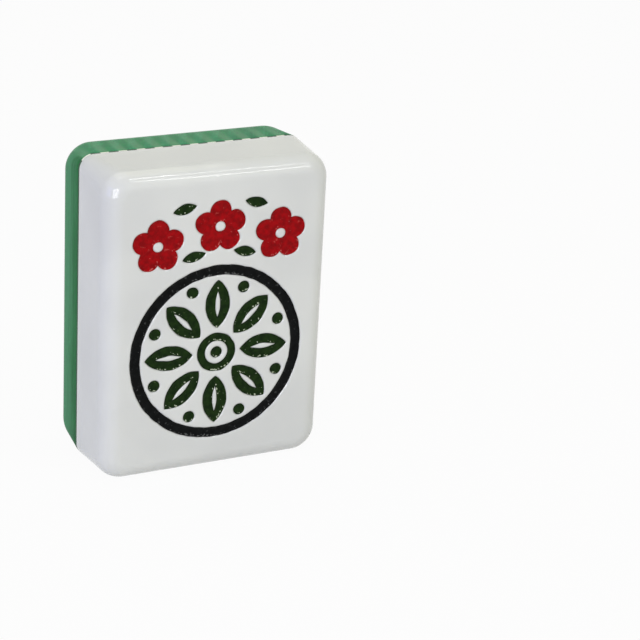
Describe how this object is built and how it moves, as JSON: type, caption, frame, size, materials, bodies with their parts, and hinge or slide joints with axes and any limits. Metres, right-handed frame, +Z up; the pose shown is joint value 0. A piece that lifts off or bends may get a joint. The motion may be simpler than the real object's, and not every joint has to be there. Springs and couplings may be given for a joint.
{
  "type": "mahjong tile",
  "caption": "Rounded rectangular game tile: white engraved face block, striped cloth and a clear back cap glued in a laminate, with enamel-filled floral ring design.",
  "frame": {"origin": "on the table under the middle of the standing tile", "axes": "+Z up along the tile's height, -Y out of the engraved face, +X to the right seen from the front"},
  "size_m": [0.0222, 0.0124, 0.03],
  "materials": {
    "white_plastic": "polished, slightly translucent white plastic",
    "glue": "clear glue, yellowed at its edge",
    "cloth": "pale woven cloth with green stripes",
    "clear_plastic": "polished clear acrylic",
    "black_enamel": "glossy enamel in a groove",
    "green_enamel": "glossy enamel in a groove",
    "red_enamel": "glossy enamel in a groove"
  },
  "bodies": {
    "root": {"face_block": "white_plastic", "front_glue_film": "glue", "striped_cloth": "cloth", "rear_glue_film": "glue", "clear_back_cap": "clear_plastic", "black_ring_paint": "black_enamel", "heart_ring_paint": "green_enamel", "heart_dot_paint": "green_enamel", "green_petal_1": "green_enamel", "green_petal_2": "green_enamel", "green_petal_3": "green_enamel", "green_petal_4": "green_enamel", "green_petal_5": "green_enamel", "green_petal_6": "green_enamel", "green_petal_7": "green_enamel", "green_petal_8": "green_enamel", "green_dot_1": "green_enamel", "green_dot_2": "green_enamel", "green_dot_3": "green_enamel", "green_dot_4": "green_enamel", "green_dot_5": "green_enamel", "green_dot_6": "green_enamel", "green_dot_7": "green_enamel", "green_dot_8": "green_enamel", "red_blossom_1": "red_enamel", "red_blossom_2": "red_enamel", "red_blossom_3": "red_enamel", "green_leaf_1": "green_enamel", "green_leaf_2": "green_enamel", "green_leaf_3": "green_enamel", "green_leaf_4": "green_enamel"}
  },
  "joints": []
}
